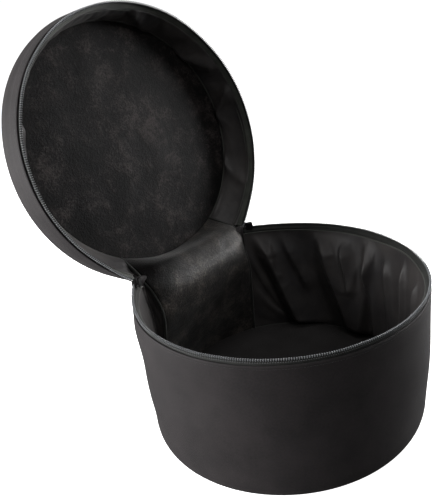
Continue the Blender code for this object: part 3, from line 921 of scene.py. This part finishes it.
@dataclass
class PaddedHalf:
    """The wall, zip half, lining and end panels of the body or of the lid.

    The panels are the outer panel, the board and the inner panel. The inner panel is drawn
    towards the front, and is lifted off the board.
    """

    half: Half
    prefix: str
    zip_prefix: str
    panels: tuple[str, str, str]
    edge_radius: float
    folds: Sequence[Fold]
    seed: int
    band_width: float
    facing: Finish
    drawn: float
    lift: float

    def piece(self, name: str, finish: Finish, slot: str, *replaces: str) -> Piece:
        """A piece that rides on this half, in place of CAD nodes."""
        return Piece(name, finish, self.half.body, slot, replaces)

    def seam(self, angle: Array) -> Array:
        """How far inside the outside face the inner panel is sewn, at each turn."""
        return SIZES.wall + self.drawn * (1 + np.cos(angle))

    def angles(self, count: int, margin: float = 0.0) -> Array:
        """Turns round the front and sides, from one end of the spine to the other."""
        start = SIZES.spine_half_angle + margin
        return np.linspace(start, math.tau - start, count)

    def on_axis(self, share: float) -> Array:
        """The point on the half's axis at a share of its depth."""
        return self.half.place(SIZES.radius, self.half.depth * share, math.pi)

    def beyond(self, grid: Array) -> Array:
        """For each point, a place well outside the wall, which inner faces look away from."""
        return grid + (grid - self.on_axis(0.5))

    def wall_profile(self) -> tuple[Array, Array]:
        """The outside of the wall: a turned hem, a slight belly and a soft corner at the panel."""
        depth, radius = self.half.depth, self.edge_radius
        straight = np.linspace(22 * MM, depth - radius - 2 * MM, 30)
        belly = -1.6 * MM * np.sin(math.pi * straight / depth)
        turn = np.linspace(0, math.pi / 2, 12)
        offsets = np.concatenate([HEM[:, 0], belly, radius * (1 - np.cos(turn))])
        levels = np.concatenate([HEM[:, 1], straight, depth - radius * (1 - np.sin(turn))])
        return offsets, levels

    def build_wall(self) -> None:
        """Nylon over foam, turned under at the panel."""
        offsets, levels = (values[:, None] for values in self.wall_profile())
        angle = self.angles(ROUND_PLACES)[None, :]
        share = levels / self.half.depth
        wavy = 1.5 * MM * ripple(angle / math.tau * 2.5, share, self.seed, low=0.6, high=3.0)
        fade = smooth((levels - 14 * MM) / (20 * MM)) * smooth((self.half.depth - levels) / (10 * MM))
        grid = self.half.place(offsets + wavy * fade, levels, angle)
        nodes = self.prefix + "_outer_wall", self.prefix + "_wall_foam"
        wall = self.piece(self.prefix + "_padded_wall", NYLON, "black_nylon", *nodes)
        wall.layer(grid, 2.5 * MM, self.on_axis(0.5))
        line = self.half.place(-0.1 * MM, HEM_STITCH_LEVEL, self.angles(900))
        stitches = self.piece(self.prefix + "_hem_stitches", THREAD, "black_nylon")
        row(stitches, RowShape.STITCH, line, 3.2 * MM, 1.2 * MM, 0.28 * MM)

    def zip_wave(self, angle: Array) -> Array:
        """How far the zip strays from its line at each turn."""
        return ZIP.wave * ripple(angle / math.tau * 3, 0 * angle, self.seed + 1, low=2, high=9)

    def build_zip(self) -> None:
        """The woven tape, the coil on its edge and the stitches that hold the coil."""
        levels = np.linspace(2.0 * MM, 16 * MM, 8)[:, None]
        offsets = np.linspace(2.2 * MM, 3.2 * MM, 8)[:, None]
        angle = self.angles(ROUND_PLACES, TAPE_MARGIN)[None, :]
        grid = self.half.place(offsets + self.zip_wave(angle), levels, angle)
        tape = self.piece(self.zip_prefix + "_tape", TAPE, "zip_tape", self.zip_prefix + "_zip_tape")
        tape.layer(grid, 0.8 * MM, self.on_axis(0.5))
        angle = self.angles(1200, 0.02)
        wave = self.zip_wave(angle)
        line = self.half.place(1.9 * MM + wave, ZIP.level, angle)
        coil = self.piece(self.zip_prefix + "_coil", COIL, "zip_coil", self.zip_prefix + "_zip_coil")
        row(coil, RowShape.COIL_TURN, line, ZIP.pitch, ZIP.turn_radius, ZIP.wire)
        line = self.half.place(1.7 * MM + wave, ZIP.sewing_level, angle)
        sewing = self.piece(self.zip_prefix + "_coil_sewing", SEWING, "zip_coil")
        row(sewing, RowShape.STITCH, line, ZIP.pitch, ZIP.sewing_half, ZIP.sewing_thread)

    def build_band(self) -> None:
        """The facing band that turns over the lining's top edge."""
        angle = self.angles(ROUND_PLACES, TAPE_MARGIN)[None, :]
        turn = angle / math.tau * 2
        width = self.band_width * (1 + 0.28 * ripple(turn, 0 * turn, self.seed + 2, low=1.5, high=6))
        across = np.linspace(0, 1, 12)[:, None]
        roll = 0.9 * MM * ripple(turn, across * 0.3, self.seed + 3, low=2, high=8)
        offset = 2.9 * MM + 4.2 * MM * smooth(across * 1.4) + roll * smooth(across * 3)
        grid = self.half.place(offset, 4.5 * MM + width * across, angle)
        name = self.prefix + "_facing_band"
        band = self.piece(name, self.facing, "zip_tape", self.prefix + "_rim_binding")
        band.layer(grid, 0.9 * MM, self.beyond(grid))
        self.piece(self.prefix + "_facing_edge", EDGE, "zip_tape").tube(grid[-1], 0.9 * MM)

    def build_lining(self) -> None:
        """Thin satin that hangs inside the wall in loose folds, and never passes through it."""
        half = self.half
        angle = self.angles(321)[None, :]
        depth = half.depth - 8.4 * MM - self.lift
        share = np.linspace(0, 1, round(depth / (3 * MM)))[:, None]
        level = LINING_TOP + (depth - LINING_TOP) * share
        lift = sum(fold.lift(np.degrees(angle), level / half.depth, half.depth) for fold in self.folds)
        down = share * half.depth / 0.2
        crease = ripple(angle / math.tau * 6, down, self.seed + 4, waves=9, low=0.8, high=2.6)
        loose = 1.2 * MM * (crease + 0.8)
        held = smooth(share * 5) * smooth((1 - share) * 7 + 0.15)
        ends = smooth((angle - angle.min()) * 12) * smooth((angle.max() - angle) * 12)
        thin = 4.0 * MM * smooth(1 - (level - LINING_TOP) / (50 * MM))
        floor = SIZES.wall - thin + (self.seam(angle) - SIZES.wall) * smooth(share * 1.05)
        grid = half.place(floor + (lift + loose) * held * ends, level, angle)
        pinned = np.zeros(grid.shape[:2], bool)
        pinned[[0, -1]] = pinned[:, [0, -1]] = True
        wall = half.place(floor, level, angle)
        inwards = half.place(floor + 1 * MM, level, angle) - wall
        inwards /= np.linalg.norm(inwards, axis=-1, keepdims=True)
        grid = settle(grid, pinned)
        depth_in = np.sum((grid - wall) * inwards, axis=-1, keepdims=True)
        kept = np.clip(np.where(depth_in > 0, depth_in, 0.15 * depth_in), 0, 24 * MM) + 0.2 * MM
        for _ in range(3):
            inner = (kept[:-2, 1:-1] + kept[2:, 1:-1] + kept[1:-1, :-2] + kept[1:-1, 2:]) / 4
            kept[1:-1, 1:-1] = (kept[1:-1, 1:-1] + inner) / 2
        # The cloth flattens the long folds as it settles, so part of them is put back.
        kept[..., 0] = 0.6 * kept[..., 0] + 0.85 * lift * held * ends
        grid = refine(grid + (kept - depth_in) * inwards)
        name = self.prefix + "_satin_lining"
        lining = self.piece(name, SATIN, "black_lining", self.prefix + "_wall_lining")
        made = lining.layer(grid, 0.5 * MM, self.beyond(grid))
        down = np.linalg.norm(np.diff(grid, axis=0), axis=-1).sum(axis=0).mean()

    def disc(
        self, offset: float, level: float, dome: float, seed: int, rings: int, shift: float
    ) -> tuple[Array, Array]:
        """A round panel in the plane of the half's end.

        Args:
            offset: How far its edge lies inside the outside face.
            level: The level of its face at the edge.
            dome: How far its middle stands out, away from the rim.
            seed: Fixes its unevenness.
            rings: Rings of points.
            shift: How far its middle lies in front of the half's.
        Returns:
            Points and their texture places.
        """
        share = np.linspace(0.002, 1, rings)[:, None]
        angle = np.linspace(0, math.tau, 241)[None, :-1]
        radius = (SIZES.radius - offset) * share
        x, y = radius * np.sin(angle), radius * np.cos(angle) - shift
        uneven = 0.8 * MM * ripple(x / SIZES.radius, y / SIZES.radius, seed, waves=10, low=0.6, high=3.5)
        z = level + (dome * (1 - share ** 2) + uneven * (1 - share ** 8))
        points = np.stack([x, y, SIZES.height + (z if self.half.is_lid else -z)], axis=-1)
        points = hang(points) if self.half.is_lid else points
        points[0] = points[0].mean(axis=0)
        return points, np.stack([x, y], axis=-1)

    def build_panels(self) -> None:
        """The outside panel, with the board behind it, and the inside panel with its piping."""
        lid, depth = self.half.is_lid, self.half.depth
        outer, board, inner = self.panels
        edge = self.edge_radius * 0.9
        points, uv = self.disc(edge, depth - 0.2 * MM, 1.5 * MM if lid else 0.0, self.seed + 5, 40, 0.0)
        if not lid:
            points[..., 2] = np.clip(points[..., 2], 0.1 * MM, None)
        panel = self.piece(outer + "_cloth", NYLON, "black_nylon", outer, board)
        panel.layer(points, 2.0 * MM, self.on_axis(0.5), uv, True)
        finish, slot = (PLUSH, "black_plush") if lid else (BASE_CLOTH, "black_lining")
        offset, level = SIZES.wall - 0.5 * MM + self.drawn, depth - 8.6 * MM - self.lift
        points, uv = self.disc(offset, level, -2.0 * MM, self.seed + 6, 60, self.drawn)
        panel = self.piece(inner + "_cloth", finish, slot, inner)
        panel.layer(points, 1.2 * MM, self.on_axis(2), uv, True)
        nodes = ["lid_panel_binding"] if lid else []
        self.piece(inner + "_piping", EDGE, slot, *nodes).tube(points[-1], 0.9 * MM, closed=True)

    def build(self) -> None:
        """Builds all pieces of the half."""
        self.build_wall()
        self.build_zip()
        self.build_band()
        self.build_lining()
        self.build_panels()


# The spine


@dataclass
class Spine:
    """The padded spine: plush inside, nylon outside, with bound seams down its edges.

    The roll gives the level and the offset of the plush in millimetres, from the base up. The
    crown gives those of the nylon, and how far each level moves at the corners.
    """

    roll: tuple[tuple[float, float], ...] = (
        (182, 10.5), (168, 11), (147, 13.5), (122, 17.5), (98, 21.5), (76, 25), (56, 28), (40, 28.5),
        (27, 25), (17, 18), (10, 8),
    )
    crown: tuple[tuple[Half, float, float, float], ...] = (
        (BODY, 10, 195.8, 0), (BODY, 5, 195.4, 0), (BODY, 1.5, 193.5, 0), (BODY, 0, 188, 0),
        (BODY, 0, 165, 0), (BODY, 0, 130, 0), (BODY, 0, 95, 0), (BODY, 0, 65, 0), (BODY, 0, 40, 0),
        (BODY, 0, 22, -18), (BODY, 0, 8, -8), (LID, 0, 8, -8), (LID, 0, 20, -14), (LID, 0, 32, 0),
        (LID, 0, 44, 0), (LID, 0, 51, 0), (LID, 2, 57, 0), (LID, 6, 59.4, 0), (LID, 11, 59.8, 0),
    )

    def inner_path(self, across: Array) -> Array:
        """The plush face, which rolls softly over the hinge.

        Args:
            across: Places across the spine, -1 to 1.
        Returns:
            Control points by place along and across.
        """
        angle = across * SIZES.spine_half_angle
        tight = np.abs(across) ** 5
        made = []
        for level, inset in self.roll:
            near = smooth(np.array((64 - level) / 44))
            line = BODY.place(inset * MM * (1 - 0.42 * near * tight), level * MM, angle)
            line[:, 0] *= 1 - 0.06 * near
            made.append(line)
        top = LID.place(7 * MM - 2 * MM * tight, 6 * MM, angle)
        top[:, 0] *= 0.94
        seam = LID.place(SIZES.wall + SIZES.lid_drawn * (1 + np.cos(angle)), LID.depth - 9.2 * MM, angle)
        made += [top + (seam - top) * share for share in (0.0, 0.3, 0.62, 0.88, 1.0)]
        return np.array(made)

    def outer_path(self, across: Array) -> Array:
        """The nylon face, from the base panel's edge to the top panel's edge.

        Args:
            across: Places across the spine, -1 to 1.
        Returns:
            Control points by place along and across.
        """
        angle = across * SIZES.spine_half_angle * 1.004
        tight = np.abs(across) ** 5
        return np.array([
            half.place(offset * MM, (level + corner * tight) * MM, angle)
            for half, offset, level, corner in self.crown
        ])

    @staticmethod
    def surface(points: Array, padding: float, rows: int = 140) -> Array:
        """A smooth face near rows of control points.

        Args:
            points: Control points by place along and across.
            padding: How far the middle stands out as padding.
            rows: Places along the face.
        Returns:
            Points by row and column.
        """
        places = np.linspace(0, len(points) - 1, rows)
        ends = np.concatenate([[2 * points[0] - points[1]], points, [2 * points[-1] - points[-2]]])
        low = np.minimum(places.astype(int), len(points) - 2)
        t = (places - low)[:, None, None]
        a, b, c, d = (ends[low + k] for k in range(4))
        grid = ((1 - t) ** 3 * a + (3 * t ** 3 - 6 * t ** 2 + 4) * b
                + (-3 * t ** 3 + 3 * t ** 2 + 3 * t + 1) * c + t ** 3 * d) / 6
        if padding:
            across = np.linspace(-1, 1, points.shape[1])[None, :]
            normals = grid_normals(grid, False)
            if np.mean(normals[..., 1]) > 0:
                normals = -normals
            uneven = ripple(across, np.linspace(0, 3, rows)[:, None], 91, low=0.5, high=3)
            grid = grid + normals * (padding * (1 - across ** 8) * (1 + 0.2 * uneven))[..., None]
        return grid

    @staticmethod
    def bend(made: Object) -> None:
        """Bakes a piece's transform into its mesh."""
        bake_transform(made)

    def build(self) -> None:
        """Builds the plush, the outside cloth and the bound edges."""
        across = np.linspace(-1, 1, 81)
        grid = self.surface(self.inner_path(across), 2.0 * MM)
        nodes = [name + end for name in ("spine_plush_", "spine_foam_") for end in ("lower", "upper")]
        nodes.append("hinge_fold")
        behind = np.array([0, SIZES.radius * 4, -SIZES.radius])
        made = Piece("spine_plush_panel", SPINE_PLUSH_PAINTED_LIGHT, "", "black_plush", nodes).layer(grid, 3 * MM, behind)
        self.bend(made)
        outer = self.surface(self.outer_path(across), 0.0)
        front = np.array([0, -SIZES.radius, SIZES.radius * 3])
        nodes = ["spine_outer_lower", "spine_outer_upper"]
        self.bend(Piece("spine_outer_cloth", NYLON, "", "black_nylon", nodes).layer(outer, 1.5 * MM, front))
        for side in Side:
            end = "_" + side.name.lower()
            column = 0 if side is Side.LEFT else -1
            seam = Piece("spine_bound_seam" + end, TAPE, "", "zip_tape", ["spine_seam_tape" + end])
            self.bend(seam.tube(grid[:, column], 2.1 * MM))
            self.build_web(side, self.even(grid[:, column]), self.even(outer[:, column]))
            self.build_tab(side)

    @staticmethod
    def even(line: Array, count: int = 60) -> Array:
        """Spreads a line's points evenly, with the same number on each side of the fold.

        Args:
            line: Points from the base to the lid's panel.
            count: Points on each side.
        Returns:
            The new points.
        """
        fold = int(np.argmin(np.hypot(line[:, 1] - SIZES.hinge_y, line[:, 2] - SIZES.height)))
        made = []
        for part in (line[: fold + 1], line[fold:]):
            steps = np.concatenate([[0], np.linalg.norm(np.diff(part, axis=0), axis=1).cumsum()])
            wanted = np.linspace(0, steps[-1], count)
            made.append(np.stack([np.interp(wanted, steps, part[:, k]) for k in range(3)], axis=-1))
        return np.concatenate([made[0], made[1][1:]])

    def build_web(self, side: Side, inner: Array, back: Array) -> None:
        """The lining's end, turned in beside the plush.

        Args:
            side: Which end of the spine.
            inner: The edge of the plush face.
            back: The edge of the nylon face.
        """
        across = np.linspace(0, 1, 13)[:, None]
        web = inner + (back - inner) * across[..., None] * 0.97
        along = np.linspace(0, 3, web.shape[1])[None, :]
        tuck = np.sin(math.pi * across) * (2.5 * MM + 1.5 * MM * ripple(across, along, 57 + side.value))
        web[..., 0] -= side.value * tuck
        piece = Piece("spine_lining_end_" + side.name.lower(), SATIN, "", "black_lining")
        self.bend(piece.layer(web, 0.5 * MM, np.array([0.0, 0.1, 0.1])))

    def build_tab(self, side: Side) -> None:
        """The folded tab over the zip's end, at the corner of the fold.

        Args:
            side: Which end of the spine.
        """
        corner = SIZES.spine_half_angle
        angle = side.value * np.linspace(corner - 0.02, corner + 0.062, 11)
        round_off = np.abs(np.linspace(-1, 1, 11)) ** 4
        puff = -1.6 * MM * (1 - round_off) - 0.4 * MM
        rises = (11.5, 9, 5, 1)
        places = [(BODY, level) for level in rises] + [(LID, level) for level in rises[::-1]]
        points = [half.place(puff, level * MM * (1 - 0.12 * round_off), angle) for half, level in places]
        node = "zip_end_tab_" + side.name.lower()
        made = Piece(node + "_cloth", NYLON, "", "black_nylon", [node]).layer(
            self.surface(np.array(points), 0.0, 40), 1.2 * MM, np.array([0.0, SIZES.hinge_y, SIZES.height]))
        self.bend(made)


# The handle and the metal


@dataclass
class Handle:
    """Webbing on the back with a wrapped grip, over two sewn patches."""

    level: float = 111 * MM
    half_length: float = 84 * MM
    free_half: float = 52 * MM
    grip_half: float = 38 * MM
    lift: float = 30 * MM
    width: float = 38 * MM

    def rise(self, angle: Array) -> Array:
        """How far the handle's line stands off the bag at each turn."""
        free = self.free_half / SIZES.radius
        return np.where(np.abs(angle) < free, self.lift * (1 + np.cos(math.pi * angle / free)) / 2, 0)

    def build(self) -> None:
        """Builds the webbing, the grip, the patches and their stitches."""
        inside = np.array([0, 0, SIZES.height / 2])
        angle = np.linspace(-self.half_length, self.half_length, 101) / SIZES.radius
        levels = self.level + np.linspace(-self.width / 2, self.width / 2, 9)[:, None]
        grid = BODY.place(-(self.rise(angle) + 4.4 * MM), levels, angle)
        strap = Piece("handle_strap", WEBBING, "bag_body", "black_webbing", ["handle_webbing"])
        strap.layer(grid, 2.4 * MM, inside)
        self.build_grip()
        for side in Side:
            self.build_patch(side, inside)

    def build_grip(self) -> None:
        """The padded wrap, closed along its inner side."""
        columns = 49
        angle = np.linspace(-self.grip_half, self.grip_half, columns)[:, None] / SIZES.radius
        turn = np.linspace(0, math.tau, GRIP_SIDES + 1)[:-1]
        thick = 3.9 * MM * np.sign(np.cos(turn)) * np.abs(np.cos(turn)) ** 0.5
        wide = (self.width / 2 + 2.2 * MM) * np.sign(np.sin(turn)) * np.abs(np.sin(turn)) ** 0.45
        end = 1 - 0.06 * np.abs(np.linspace(-1, 1, columns))[:, None] ** 8
        grid = BODY.place(-(self.rise(angle) + 3.2 * MM + thick * end), self.level + wide * end, angle)
        grip = Piece("handle_grip_wrap", NYLON, "bag_body", "black_webbing", ["handle_grip"])
        grip.from_mesh(grid, capped_faces(columns, GRIP_SIDES), spread_uv(grid))

    def build_patch(self, side: Side, inside: Array) -> None:
        """One anchor patch with its box of stitches.

        Args:
            side: Which end of the handle.
            inside: A point within the bag.
        """
        name = side.name.lower()
        angle = side.value * np.linspace(46 * MM / SIZES.radius, 90 * MM / SIZES.radius, 25)
        levels = self.level + np.linspace(-25 * MM, 25 * MM, 15)[:, None]
        grid = BODY.place(-1.6 * MM, levels, angle)
        patch = Piece("anchor_patch_" + name, NYLON, "bag_body", "black_nylon", ["handle_patch_" + name])
        patch.layer(grid, 1.2 * MM, inside)
        near, far = 58 * MM / SIZES.radius, 81 * MM / SIZES.radius
        corners = [(near, -1), (far, -1), (far, 1), (near, 1), (near, -1), (far, 1), (near, 1), (far, -1)]
        line = []
        for (a, u), (b, v) in zip(corners, corners[1:]):
            for t in np.linspace(0, 1, 14)[:-1]:
                level = self.level + (u + (v - u) * t) * 15 * MM
                line.append(BODY.place(-4.7 * MM, level, side.value * (a + (b - a) * t)))
        stitches = Piece("anchor_stitches_" + name, THREAD, "bag_body", "black_webbing")
        row(stitches, RowShape.STITCH, np.array(line), 3 * MM, 1.2 * MM, 0.35 * MM)


def dress_metal(frame: dict) -> None:
    """Gives the frame's sliders and pulls their finish and softened edges.

    Args:
        frame: What the frame's loader returned.
    """
    for name, node in frame["nodes"].items():
        if name.startswith(("zip_slider", "zip_pull")):
            node.data.materials.clear()
            node.data.materials.append(ZINC.material())
            bevel = node.modifiers.new("soft_edges", "BEVEL")
            bevel.width, bevel.segments, bevel.limit_method = 0.35 * MM, 2, "ANGLE"


# The studio


WHITE = (1.0, 1.0, 1.0, 1.0)


@dataclass(frozen=True)
class Lamp:
    """A square soft light that faces the bag: its place and side in metres, its power in watts."""

    name: str
    place: tuple[float, float, float]
    size: float
    power: float

    def build(self) -> None:
        """Adds the light."""
        data = bpy.data.lights.new(self.name, "AREA")
        data.size, data.energy = self.size, self.power
        made = bpy.data.objects.new(self.name, data)
        bpy.context.scene.collection.objects.link(made)
        made.location = self.place
        aim = Vector((0, 0, 0.15)) - Vector(self.place)
        made.rotation_euler = aim.to_track_quat("-Z", "Y").to_euler()


LAMPS = (
    Lamp("key", (-1.6, 1.15, 0.5), 1.1, 97),
    Lamp("front", (-0.5, -1.8, 1.7), 0.35, 8),
    Lamp("side", (1.45, -0.6, 0.6), 0.6, 26),
    Lamp("edge", (1.6, 0.05, 0.4), 0.8, 28),
    Lamp("top", (0.0, -0.1, 2.0), 0.8, 6),
)


@dataclass(frozen=True)
class Studio:
    """Floor, world, lights and camera at the photo's angle.

    The distance is in radii of the bag. The focal length and the centre are in pixels, and
    the other camera values are in degrees.
    """

    azimuth: float = -49.79
    elevation: float = 27.97
    distance: float = 3.893
    focal_pixels: float = 562.5
    centre_pixels: tuple[float, float] = (281.8, 291.7)
    roll: float = -4.67

    def camera(self) -> None:
        """Places the camera."""
        data = bpy.data.cameras.new("camera")
        longest = max(PHOTO_SIZE)
        data.sensor_width = 36.0
        data.lens = self.focal_pixels / longest * data.sensor_width
        data.shift_x = -(self.centre_pixels[0] - PHOTO_SIZE[0] / 2) / longest
        data.shift_y = (self.centre_pixels[1] - PHOTO_SIZE[1] / 2) / longest
        made = bpy.data.objects.new("camera", data)
        bpy.context.scene.collection.objects.link(made)
        turn, rise = math.radians(self.azimuth), math.radians(self.elevation)
        back = Vector((math.sin(turn) * math.cos(rise), -math.cos(turn) * math.cos(rise), math.sin(rise)))
        target = Vector((0, 0, 0.9 * SIZES.radius))
        look = (-back).to_track_quat("-Z", "Y").to_matrix().to_4x4()
        place = Matrix.Translation(target + back * self.distance * SIZES.radius)
        made.matrix_world = place @ look @ Matrix.Rotation(math.radians(self.roll), 4, "Z")
        bpy.context.scene.camera = made

    def build(self) -> None:
        """Builds everything round the bag.

        The floor and the world are white as the camera sees them, and darker as light.
        """
        bpy.ops.mesh.primitive_plane_add(size=30)
        floor = bpy.context.object
        floor.name = "floor"
        floor.location = (0, 0, -0.1 * MM)
        paper = PAPER.material()
        shader = paper.node_tree.nodes["Principled BSDF"].inputs
        shader["Emission Color"].default_value = WHITE
        for name, lit, seen in (("Emission Strength", 0.0, 1.05), ("Base Color", 0.16, 0.93)):
            Nodes(paper.node_tree).seen_or_lit(shader[name], lit, seen)
        floor.data.materials.append(paper)
        world = bpy.data.worlds.new("studio")
        world.use_nodes = True
        sky = world.node_tree.nodes["Background"].inputs
        sky["Color"].default_value = WHITE
        Nodes(world.node_tree).seen_or_lit(sky["Strength"], 0.2, 1.05)
        bpy.context.scene.world = world
        bpy.context.scene.view_settings.view_transform = "Standard"
        for lamp in LAMPS:
            lamp.build()
        self.camera()


def main() -> None:
    """Dresses the frame and sets up the studio."""
    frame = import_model()
    dress_metal(frame)
    PaddedHalf(
        half=BODY, prefix="body", zip_prefix="lower",
        panels=("base_outer_panel", "base_board", "base_lining_panel"),
        edge_radius=9 * MM, folds=BODY_FOLDS, seed=11, band_width=7 * MM, facing=TAPE, drawn=0.0, lift=6 * MM,
    ).build()
    PaddedHalf(
        half=LID, prefix="lid", zip_prefix="upper",
        panels=("lid_top_panel", "lid_board", "lid_plush_panel"),
        edge_radius=12 * MM, folds=LID_FOLDS, seed=31, band_width=11 * MM, facing=BINDING,
        drawn=SIZES.lid_drawn, lift=0.0,
    ).build()
    Spine().build()
    Handle().build()
    Studio().build()


if __name__ == "__main__":
    main()
